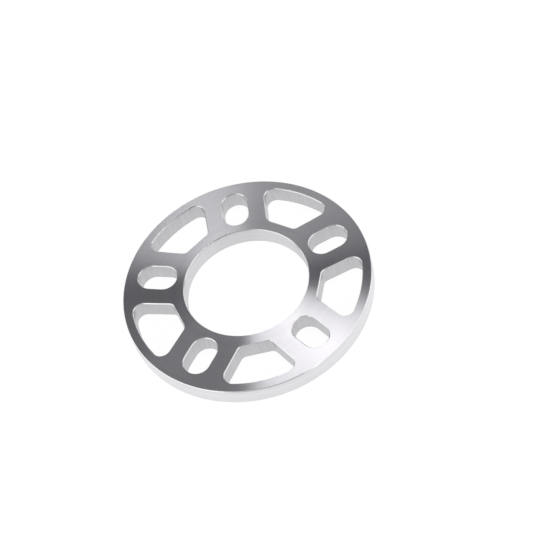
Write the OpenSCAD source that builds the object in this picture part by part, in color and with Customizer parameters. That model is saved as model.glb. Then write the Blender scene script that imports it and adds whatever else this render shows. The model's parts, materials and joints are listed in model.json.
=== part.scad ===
// Slotted wheel spacer: a flat ring cut from one piece of metal. The faces,
// the bore and the rim are turned, and the stud slots and the lightening
// windows are milled through it. It lies on its hub face at z = 0 with the
// wheel axis on Z, and one stud slot points along +Y.

/* [Ring] */
// Outer diameter of the ring
outer_d = 150; // [140:1:170]
// Thickness between the hub face and the wheel face
thickness = 12; // [5:1:30]
// Diameter of the hub bore
bore_d = 75; // [56:0.5:80]
// Chamfer that breaks every edge
edge_break = 0.5; // [0.2:0.1:1]

/* [Stud slots] */
// Number of wheel studs
stud_count = 5; // [4:1:6]
// Diameter of the largest stud that passes
stud_d = 14; // [12:0.5:16]
// Play of that stud across its slot
stud_play = 2; // [0.5:0.5:4]
// Smallest stud circle diameter
pcd_min = 100; // [98:1:108]
// Largest stud circle diameter
pcd_max = 120; // [112:1:126]

/* [Windows] */
// Rim left outside a window
rim_w = 5.8; // [4:0.1:10]
// Land left between the bore and a window
land_w = 6.9; // [4:0.1:10]
// Web between a slot and a window, at the middle of the slot
web_w = 10.9; // [6:0.1:13]
// Angle by which that web widens towards the rim
web_taper = 2; // [0:0.5:6]
// Radius of a window's corners at the rim
rim_corner_r = 5.5; // [2:0.5:7]
// Radius of a window's corners at the land
land_corner_r = 3.5; // [2:0.5:6]

/* [Hidden] */
$fn = 72;

// How far a cut runs past the two faces, and an edge of a window into its middle
overrun = 1;
// How far a window's corner cuts run past the edges that they blend into
blend = 0.001;

outer_r = outer_d / 2;
bore_r = bore_d / 2;
pitch = 360 / stud_count;
first_slot = 90;

// Slot: its two end centres lie on its own X axis
slot_r = (stud_d + stud_play) / 2;
slot_in = (pcd_min - stud_d) / 2 + slot_r;
slot_out = (pcd_max + stud_d) / 2 - slot_r;

// Window: it lies along its own X axis, halfway between two slots. A side
// starts from the web at the middle of the slot and leans by side_angle.
window_in = bore_r + land_w;
window_out = outer_r - rim_w;
side_angle = pitch / 2 - web_taper;
side_dir = [cos(side_angle), sin(side_angle)];
side_in = [sin(side_angle), -cos(side_angle)];
slot_dir = [cos(pitch / 2), sin(pitch / 2)];
slot_flank = [sin(pitch / 2), -cos(pitch / 2)];
side_point = slot_dir * (slot_in + slot_out) / 2 + slot_flank * (slot_r + web_w);

// Corner centres: each lies its own radius inside the side, and the same
// radius inside the straight land edge or the rim arc
land_foot = side_point + side_in * land_corner_r;
land_run = (window_in + land_corner_r - land_foot.x) / side_dir.x;
land_corner = land_foot + side_dir * land_run;
rim_foot = side_point + side_in * rim_corner_r;
rim_reach = window_out - rim_corner_r;
rim_run = sqrt(rim_reach ^ 2 - (rim_foot * side_in) ^ 2) - rim_foot * side_dir;
rim_corner = rim_foot + side_dir * rim_run;
side_length = rim_run - land_run;
rim_angle = atan2(rim_corner.y, rim_corner.x);

// Section of every cut, from x = back to its wall, which flares into a
// chamfer at both faces
function cut_section(back, wall) =
    let (flare = wall + edge_break + overrun, top = thickness + overrun)
    [
        [back, -overrun],
        [flare, -overrun],
        [wall, edge_break],
        [wall, thickness - edge_break],
        [flare, top],
        [back, top],
    ];

// Round cut about Z, with its seam towards -X
module round_cut(r) {
    rotate(180)
        rotate_extrude()
            polygon(cut_section(0, r));
}

// Straight cut along +X with its wall at y = 0 and its back at y = -reach
module straight_cut(length, reach) {
    rotate([90, 0, 90])
        linear_extrude(length)
            polygon(cut_section(-reach, 0));
}

// Arc cut about Z, to each side of the X axis, with its wall at radius r
module arc_cut(r, half_angle, back) {
    rotate(-half_angle)
        rotate_extrude(angle = 2 * half_angle)
            polygon(cut_section(back, r));
}

// Turned ring with its four edges broken
module ring() {
    rotate_extrude()
        polygon([
            [bore_r + edge_break, 0],
            [outer_r - edge_break, 0],
            [outer_r, edge_break],
            [outer_r, thickness - edge_break],
            [outer_r - edge_break, thickness],
            [bore_r + edge_break, thickness],
            [bore_r, thickness - edge_break],
            [bore_r, edge_break],
        ]);
}

// Round-ended slot for one stud, along +X
module stud_slot() {
    for (end = [slot_in, slot_out])
        translate([end, 0, 0])
            round_cut(slot_r);
    for (side = [0, 1])
        mirror([0, side, 0])
            translate([slot_in, slot_r, 0])
                straight_cut(slot_out - slot_in, slot_r);
}

// One side of a window with its two corners
module window_side() {
    translate([land_corner.x, land_corner.y, 0])
        rotate(side_angle) {
            round_cut(land_corner_r + blend);
            translate([side_length, land_corner_r - rim_corner_r, 0])
                round_cut(rim_corner_r + blend);
            translate([0, land_corner_r, 0])
                straight_cut(side_length, max(land_corner_r, rim_corner_r) + overrun);
        }
}

// Lightening window along +X: two sides, the land edge, the rim arc and
// the middle that they enclose
module window() {
    for (side = [0, 1])
        mirror([0, side, 0])
            window_side();
    translate([window_in, -land_corner.y, 0])
        rotate(90)
            straight_cut(2 * land_corner.y, land_corner_r + overrun);
    arc_cut(window_out, rim_angle, rim_corner.x - overrun);
    translate([0, 0, -overrun])
        linear_extrude(thickness + 2 * overrun)
            polygon([
                [land_corner.x, overrun - land_corner.y],
                [rim_corner.x, overrun - rim_corner.y],
                [rim_corner.x, rim_corner.y - overrun],
                [land_corner.x, land_corner.y - overrun],
            ]);
}

// The whole spacer
module spacer() {
    color([0.62, 0.62, 0.65])
        difference() {
            ring();
            for (i = [0 : stud_count - 1])
                rotate(first_slot + i * pitch) {
                    stud_slot();
                    rotate(pitch / 2)
                        window();
                }
        }
}

spacer();
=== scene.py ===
"""Look of the slotted wheel spacer: bare aluminium, turned on its faces and milled in its openings."""
import json
import math

import bpy
from mathutils import Matrix, Vector


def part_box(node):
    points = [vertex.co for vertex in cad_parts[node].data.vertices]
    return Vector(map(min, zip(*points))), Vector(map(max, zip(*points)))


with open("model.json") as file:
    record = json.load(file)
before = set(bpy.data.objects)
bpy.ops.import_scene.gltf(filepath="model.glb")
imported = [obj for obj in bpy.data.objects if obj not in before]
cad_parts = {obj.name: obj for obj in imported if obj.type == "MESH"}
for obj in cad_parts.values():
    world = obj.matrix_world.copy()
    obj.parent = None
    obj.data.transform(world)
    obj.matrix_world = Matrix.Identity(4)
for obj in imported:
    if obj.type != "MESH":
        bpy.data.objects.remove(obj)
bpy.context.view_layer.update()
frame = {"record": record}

LOW, HIGH = (Vector(corner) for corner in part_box("spacer"))
TOP_CENTRE = Vector((0.0, 0.0, HIGH.z))
OUTER_R = HIGH.x
MOUNTS = {mount["name"]: mount for mount in frame["record"]["mounts"]}
BORE_R = MOUNTS["hub_bore"]["dims"]["r_mm"] / 1000

# Camera: azimuth, elevation and roll in degrees, lens and sensor in mm, and how far the top face's
# centre lies to the right, down and forward of it, in metres
VIEW_AZ = 7.06
VIEW_EL = 53.66
VIEW_ROLL = 18.25
VIEW_LENS = 90.62
VIEW_SENSOR = 36
VIEW_CENTRE = Vector((-0.01725, 0.00366, 0.81598))

# Softboxes: degrees round from the camera's right, degrees up, metres away, degrees of spin, width and
# height in metres, and radiance
SOFTBOXES = {
    "key": (50.0, 73.8, 0.8, 23.0, 0.444, 0.36, 2.40),
    "far_fill": (76.5, 34.2, 0.9, 6.4, 0.573, 0.553, 0.36),
    "left_fill": (-162.0, 26.0, 0.9, 0.0, 0.98, 0.45, 0.95),
    "right_fill": (-26.0, 26.0, 0.9, 0.0, 1.30, 0.45, 0.88),
    "front_fill": (-97.5, 28.0, 0.9, 0.0, 1.28, 0.50, 0.43),
}
ROOM_LEVEL = 0.095
ROOM_COLOUR = (0.93, 0.93, 1.0, 1.0)

# Floor: radius and height of the sweep at its edge, in metres, how much of what it shows is plain white,
# and how bright that is, so that it comes to white with the floor's own shading
FLOOR_RADIUS = 6.0
FLOOR_RISE = 1.4
FLOOR_SIDES = 96
FLOOR_STEPS = 8
FLOOR_COLOUR = (0.9, 0.9, 0.9, 1.0)
FLOOR_SHARE = 0.85
FLOOR_WHITE = 1.12

# Where most of a noise texture's values lie
NOISE_LOW = 0.3
NOISE_HIGH = 0.7

# Turning marks: rings left by the tool, broader bands and cloudy patches, as waves per metre, the slope
# of a ring's flanks, its darkest tone, and how far bands and patches change the roughness
FEED_SCALE = 2600.0
BAND_SCALE = 260.0
CLOUD_SCALE = 38.0
RING_SLOPE = 0.03
RING_TONE = 0.94
BAND_GLOSS = 0.005
CLOUD_GLOSS = 0.01

# Stretch of the reflections across the rings, and its direction as a share of a turn
RING_STRETCH = 1.0
RING_TURN = 0.25

# Milling marks: upright strokes and the slower chatter of the cutter, as waves per metre, how little they
# change up the wall, the strokes' strength and depth in metres, and how far chatter changes the roughness
STROKE_SCALE = 1500.0
CHATTER_SCALE = 260.0
STROKE_STRETCH = 0.05
STROKE_STRENGTH = 0.1
STROKE_DEPTH = 0.0002
CHATTER_GLOSS = 0.05

# Sorting of the surfaces: the least upright part of the normal on a face and on a chamfer, and how far a
# wall's points may lie from its radius, in metres
FACE_UPRIGHT = 0.99
CHAMFER_UPRIGHT = 0.3
WALL_SLACK = 2e-4


def make_camera():
    """Camera at the photograph's viewing angle."""
    az, el, roll = (math.radians(v) for v in (VIEW_AZ, VIEW_EL, VIEW_ROLL))
    level = Vector((math.cos(az), math.sin(az), 0))
    forward = Vector((-math.sin(az) * math.cos(el), math.cos(az) * math.cos(el), -math.sin(el)))
    below = forward.cross(level)
    right = math.cos(roll) * level + math.sin(roll) * below
    down = math.cos(roll) * below - math.sin(roll) * level
    data = bpy.data.cameras.new("camera")
    data.lens = VIEW_LENS
    data.sensor_width = VIEW_SENSOR
    camera = bpy.data.objects.new("camera", data)
    bpy.context.collection.objects.link(camera)
    place = TOP_CENTRE - (VIEW_CENTRE.x * right + VIEW_CENTRE.y * down + VIEW_CENTRE.z * forward)
    axes = Matrix((right, -down, -forward)).transposed()
    camera.matrix_world = Matrix.Translation(place) @ axes.to_4x4()
    bpy.context.scene.camera = camera


def make_softbox(name, azimuth, elevation, distance, spin, width, height, radiance):
    """Flat rectangular lamp that faces the part."""
    az, el = math.radians(azimuth + VIEW_AZ), math.radians(elevation)
    away = Vector((math.cos(el) * math.cos(az), math.cos(el) * math.sin(az), math.sin(el)))
    across = Vector((-math.sin(az), math.cos(az), 0))
    turn = Matrix.Rotation(math.radians(spin), 3, away)
    axes = Matrix((turn @ across, turn @ away.cross(across), away)).transposed()
    data = bpy.data.lights.new(name, "AREA")
    data.shape = "RECTANGLE"
    data.size, data.size_y = width, height
    data.energy = radiance * math.pi * width * height
    lamp = bpy.data.objects.new(name, data)
    bpy.context.collection.objects.link(lamp)
    lamp.matrix_world = Matrix.Translation(TOP_CENTRE + distance * away) @ axes.to_4x4()
    lamp.visible_camera = False


def make_room():
    """Dim even room round the lamps."""
    world = bpy.data.worlds.new("room")
    world.use_nodes = True
    back = world.node_tree.nodes["Background"]
    back.inputs["Color"].default_value = ROOM_COLOUR
    back.inputs["Strength"].default_value = ROOM_LEVEL
    bpy.context.scene.world = world


class Nodes:
    """New node material with short calls to add and link its nodes."""

    def __init__(self, name):
        self.material = bpy.data.materials.new(name)
        self.material.use_nodes = True
        self.tree = self.material.node_tree
        self.tree.nodes.clear()

    def add(self, kind, inputs=None, **settings):
        """Node of a kind; inputs gives each socket a value or the output to link to it."""
        node = self.tree.nodes.new("ShaderNode" + kind)
        for key, value in settings.items():
            setattr(node, key, value)
        for key, value in (inputs or {}).items():
            if isinstance(value, bpy.types.NodeSocket):
                self.tree.links.new(value, node.inputs[key])
            else:
                node.inputs[key].default_value = value
        return node

    def out(self, kind, inputs=None, output=0, **settings):
        """Output socket of a new node."""
        return self.add(kind, inputs, **settings).outputs[output]

    def maths(self, operation, first, second):
        """Result of a calculation with two numbers."""
        return self.out("Math", {0: first, 1: second}, operation=operation)

    def vector(self, operation, *values, output=0):
        """Result of a calculation with vectors."""
        return self.out("VectorMath", dict(enumerate(values)), output, operation=operation)

    def scaled(self, vector, share):
        """Vector or colour times a number."""
        return self.out("VectorMath", {0: vector, "Scale": share}, operation="SCALE")

    def span(self, noise, low, high):
        """Noise spread from low to high."""
        ends = {"From Min": NOISE_LOW, "From Max": NOISE_HIGH, "To Min": low, "To Max": high}
        return self.out("MapRange", {"Value": noise, **ends})

    def finish(self, shader):
        """Material with the shader as its surface."""
        self.add("OutputMaterial", {"Surface": shader})
        return self.material


def turned(name, colour, roughness, banding, lean=0.0):
    """Lathe-turned aluminium: rings about the axis stretch its reflections. Banding is how much darker the
    broad bands are. On a flat face, lean is how far the rings' flanks lean outwards."""
    n = Nodes(name)
    place = n.out("TexCoord", output="Object")
    split = n.add("SeparateXYZ", {"Vector": place}).outputs
    flat = n.out("CombineXYZ", {"X": split["X"], "Y": split["Y"]})
    run = n.maths("ADD", n.vector("LENGTH", flat, output="Value"), split["Z"])
    fine = {"W": run, "Scale": FEED_SCALE, "Detail": 3.0, "Roughness": 0.7}
    feed = n.out("TexNoise", fine, noise_dimensions="1D")
    band = n.out("TexNoise", {"W": run, "Scale": BAND_SCALE, "Detail": 2.0}, noise_dimensions="1D")
    cloud = n.out("TexNoise", {"Vector": place, "Scale": CLOUD_SCALE, "Detail": 4.0, "Roughness": 0.6})

    tone = n.maths("MULTIPLY", n.span(feed, RING_TONE, 1.0), n.span(band, 1.0 - banding, 1.0))
    patches = n.span(cloud, roughness - CLOUD_GLOSS, roughness + CLOUD_GLOSS)
    gloss = n.maths("ADD", patches, n.span(band, -BAND_GLOSS, BAND_GLOSS))

    rings = n.out("Tangent", direction_type="RADIAL", axis="Z")
    normal = n.out("NewGeometry", output="True Normal" if lean else "Normal")
    flank = n.scaled(n.vector("CROSS_PRODUCT", rings, normal), n.span(feed, -RING_SLOPE, RING_SLOPE))
    outward = n.out("VectorTransform", {0: n.vector("NORMALIZE", flat)},
                    vector_type="VECTOR", convert_from="OBJECT", convert_to="WORLD")
    normal = n.vector("MULTIPLY_ADD", outward, (lean,) * 3, normal)
    normal = n.vector("NORMALIZE", n.vector("ADD", normal, flank))
    return n.finish(n.out("BsdfPrincipled", {
        "Base Color": n.scaled(colour, tone), "Metallic": 1.0, "Roughness": gloss, "Normal": normal,
        "Tangent": rings, "Anisotropic": RING_STRETCH, "Anisotropic Rotation": RING_TURN,
    }))


def milled(name, colour, roughness, contrast):
    """End-milled aluminium: upright tool marks along the walls. Contrast is how much darker they are."""
    n = Nodes(name)
    place = n.out("TexCoord", output="Object")
    drawn = n.out("Mapping", {"Vector": place, "Scale": (1.0, 1.0, STROKE_STRETCH)})
    fine = {"Vector": drawn, "Scale": STROKE_SCALE, "Detail": 3.0, "Roughness": 0.6}
    strokes = n.out("TexNoise", fine)
    chatter = n.out("TexNoise", {"Vector": drawn, "Scale": CHATTER_SCALE, "Detail": 2.0})
    dull = 1.0 - contrast
    tone = n.maths("MULTIPLY", n.span(strokes, dull, 1.0), n.span(chatter, dull, 1.0))
    gloss = n.span(chatter, roughness - CHATTER_GLOSS, roughness + CHATTER_GLOSS)
    normal = n.out("Bump", {"Height": strokes, "Strength": STROKE_STRENGTH, "Distance": STROKE_DEPTH})
    return n.finish(n.out("BsdfPrincipled", {
        "Base Color": n.scaled(colour, tone), "Metallic": 1.0, "Roughness": gloss, "Normal": normal,
    }))


def dress(part):
    """Give each kind of surface on the part its own machined finish; the darker colours of the bore and of
    the opening walls are painted shade. Below a roughness of about 0.28 the broad faces render with grain."""
    finishes = (
        turned("turned_face", colour=(0.865, 0.85, 0.885), roughness=0.295, banding=0.03, lean=0.069),
        turned("turned_rim", colour=(0.955, 0.945, 0.965), roughness=0.30, banding=0.12),
        # painted shade: the bore is coloured darker than the rim to stand for the shaded floor that it
        # reflects
        turned("turned_bore_painted_shade", colour=(0.86, 0.85, 0.87), roughness=0.34, banding=0.08),
        # painted shade: the walls of the slots and windows are coloured darker than bare aluminium to
        # stand for the shade inside the openings
        milled("milled_wall_painted_shade", colour=(0.62, 0.61, 0.63), roughness=0.36, contrast=0.12),
        milled("broken_edge", colour=(0.93, 0.92, 0.94), roughness=0.24, contrast=0.03),
    )
    face, rim, bore, opening, edge = range(len(finishes))
    mesh = part.data
    mesh.materials.clear()
    for finish in finishes:
        mesh.materials.append(finish)
    for polygon in mesh.polygons:
        upright = abs(polygon.normal.z)
        reach = math.hypot(*mesh.vertices[polygon.vertices[0]].co.xy)
        if upright > FACE_UPRIGHT:
            polygon.material_index = face
        elif upright > CHAMFER_UPRIGHT:
            polygon.material_index = edge
        elif abs(reach - OUTER_R) < WALL_SLACK:
            polygon.material_index = rim
        elif abs(reach - BORE_R) < WALL_SLACK:
            polygon.material_index = bore
        else:
            polygon.material_index = opening


def make_floor():
    """White floor that sweeps up far from the part; it shows white, and keeps the part's shadow."""
    bends = [math.radians(90 * i / FLOOR_STEPS) for i in range(FLOOR_STEPS + 1)]
    turns = [math.tau * i / FLOOR_SIDES for i in range(FLOOR_SIDES)]
    verts = [(0, 0, LOW.z)]
    for bend in bends:
        r = FLOOR_RADIUS - FLOOR_RISE * (1 - math.sin(bend))
        z = LOW.z + FLOOR_RISE * (1 - math.cos(bend))
        verts += [(r * math.cos(turn), r * math.sin(turn), z) for turn in turns]
    pairs = [(i, (i + 1) % FLOOR_SIDES) for i in range(FLOOR_SIDES)]
    faces = [(0, 1 + i, 1 + j) for i, j in pairs]
    for low in range(1, 1 + FLOOR_STEPS * FLOOR_SIDES, FLOOR_SIDES):
        high = low + FLOOR_SIDES
        faces += [(low + i, high + i, high + j, low + j) for i, j in pairs]
    mesh = bpy.data.meshes.new("floor")
    mesh.from_pydata(verts, [], faces)
    mesh.polygons.foreach_set("use_smooth", [True] * len(faces))
    floor = bpy.data.objects.new("floor", mesh)
    bpy.context.collection.objects.link(floor)

    n = Nodes("floor")
    rays = n.add("LightPath").outputs
    seen = n.maths("MAXIMUM", rays["Is Camera Ray"], rays["Is Glossy Ray"])
    seen = n.maths("MAXIMUM", seen, rays["Is Transmission Ray"])
    share = n.maths("MULTIPLY", seen, FLOOR_SHARE)
    matt = n.out("BsdfDiffuse", {"Color": FLOOR_COLOUR})
    white = n.out("Emission", {"Strength": FLOOR_WHITE})
    mesh.materials.append(n.finish(n.out("MixShader", {0: share, 1: matt, 2: white})))


bpy.context.scene.view_settings.view_transform = "Standard"
make_camera()
make_room()
for box_name, settings in SOFTBOXES.items():
    make_softbox(box_name, *settings)
make_floor()
dress(bpy.data.objects["spacer"])
